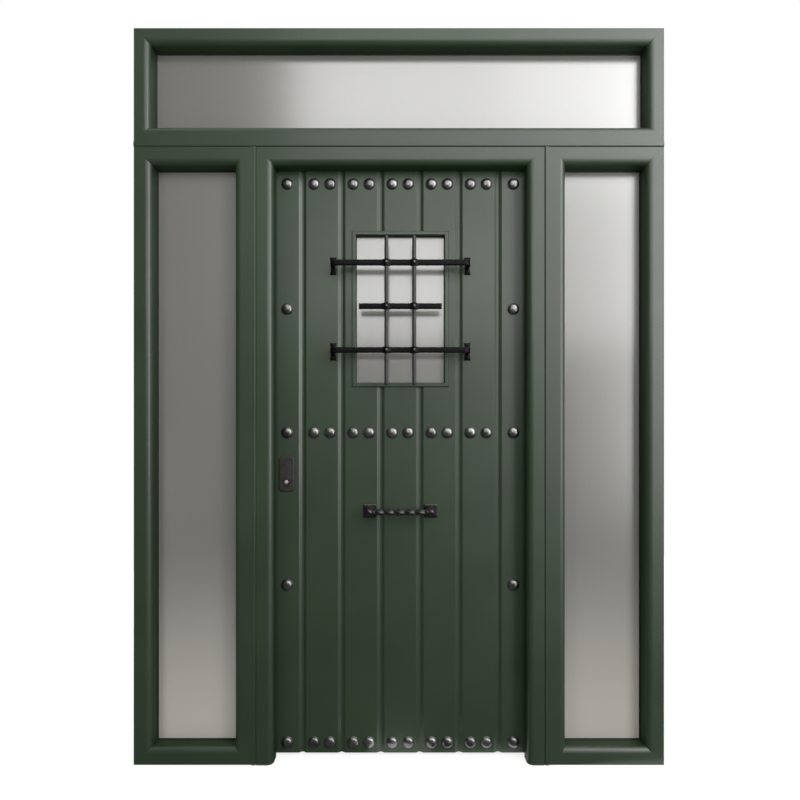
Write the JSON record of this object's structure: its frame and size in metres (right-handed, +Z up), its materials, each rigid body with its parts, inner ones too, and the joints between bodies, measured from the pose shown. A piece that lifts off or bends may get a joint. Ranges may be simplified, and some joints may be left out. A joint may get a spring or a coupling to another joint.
{
  "type": "entrance door set with plank leaf, side lights and top light",
  "caption": "Rustic painted entrance door of grooved planks with a grilled window, in a frame with two fixed side lights and a fixed top light.",
  "frame": {"origin": "middle of the hinge jamb's foot, on the floor and at half the frame's depth", "axes": "+X to the right seen from outside, +Y inwards, +Z up"},
  "size_m": [1.9, 0.172, 2.64],
  "materials": {
    "green_paint": "satin paint on aluminium",
    "frosted_glass": "acid-etched",
    "black_iron": "blackened wrought iron",
    "lock_steel": "brushed",
    "hinge_steel": "satin"
  },
  "bodies": {
    "frame": {"door_head": "green_paint", "hinge_frame_flaps": "hinge_steel", "hinge_jamb": "green_paint", "left_light_beads": "green_paint", "left_light_glass": "frosted_glass", "left_light_head": "green_paint", "left_light_left_stile": "green_paint", "left_light_right_stile": "green_paint", "left_light_sill": "green_paint", "lock_jamb": "green_paint", "right_light_beads": "green_paint", "right_light_glass": "frosted_glass", "right_light_head": "green_paint", "right_light_left_stile": "green_paint", "right_light_right_stile": "green_paint", "right_light_sill": "green_paint", "strike_plate": "lock_steel", "top_light_beads": "green_paint", "top_light_glass": "frosted_glass", "top_light_head": "green_paint", "top_light_left_stile": "green_paint", "top_light_right_stile": "green_paint", "top_light_sill": "green_paint"},
    "leaf": {"grille_bottom_bar": "black_iron", "grille_middle_bar": "black_iron", "grille_top_bar": "black_iron", "grille_uprights": "black_iron", "hinge_leaf_flaps": "hinge_steel", "inside_lever": "lock_steel", "lock_cylinder": "lock_steel", "lock_edge_plate": "lock_steel", "lock_inside_plate": "lock_steel", "lock_outside_plate": "black_iron", "plank_1": "green_paint", "plank_2": "green_paint", "plank_3": "green_paint", "plank_4": "green_paint", "plank_5": "green_paint", "plank_6": "green_paint", "plank_7": "green_paint", "pull_bar": "black_iron", "pull_brackets": "black_iron", "studs": "black_iron", "window_glass": "frosted_glass", "window_inside_moulding": "green_paint", "window_outside_moulding": "green_paint"}
  },
  "joints": [
    {"name": "leaf_hinge", "type": "hinge", "parent": "frame", "child": "leaf", "pos_m": [-0.0235, 0.065, 0], "axis": [0, 0, -1], "range_deg": [0, 110]}
  ]
}
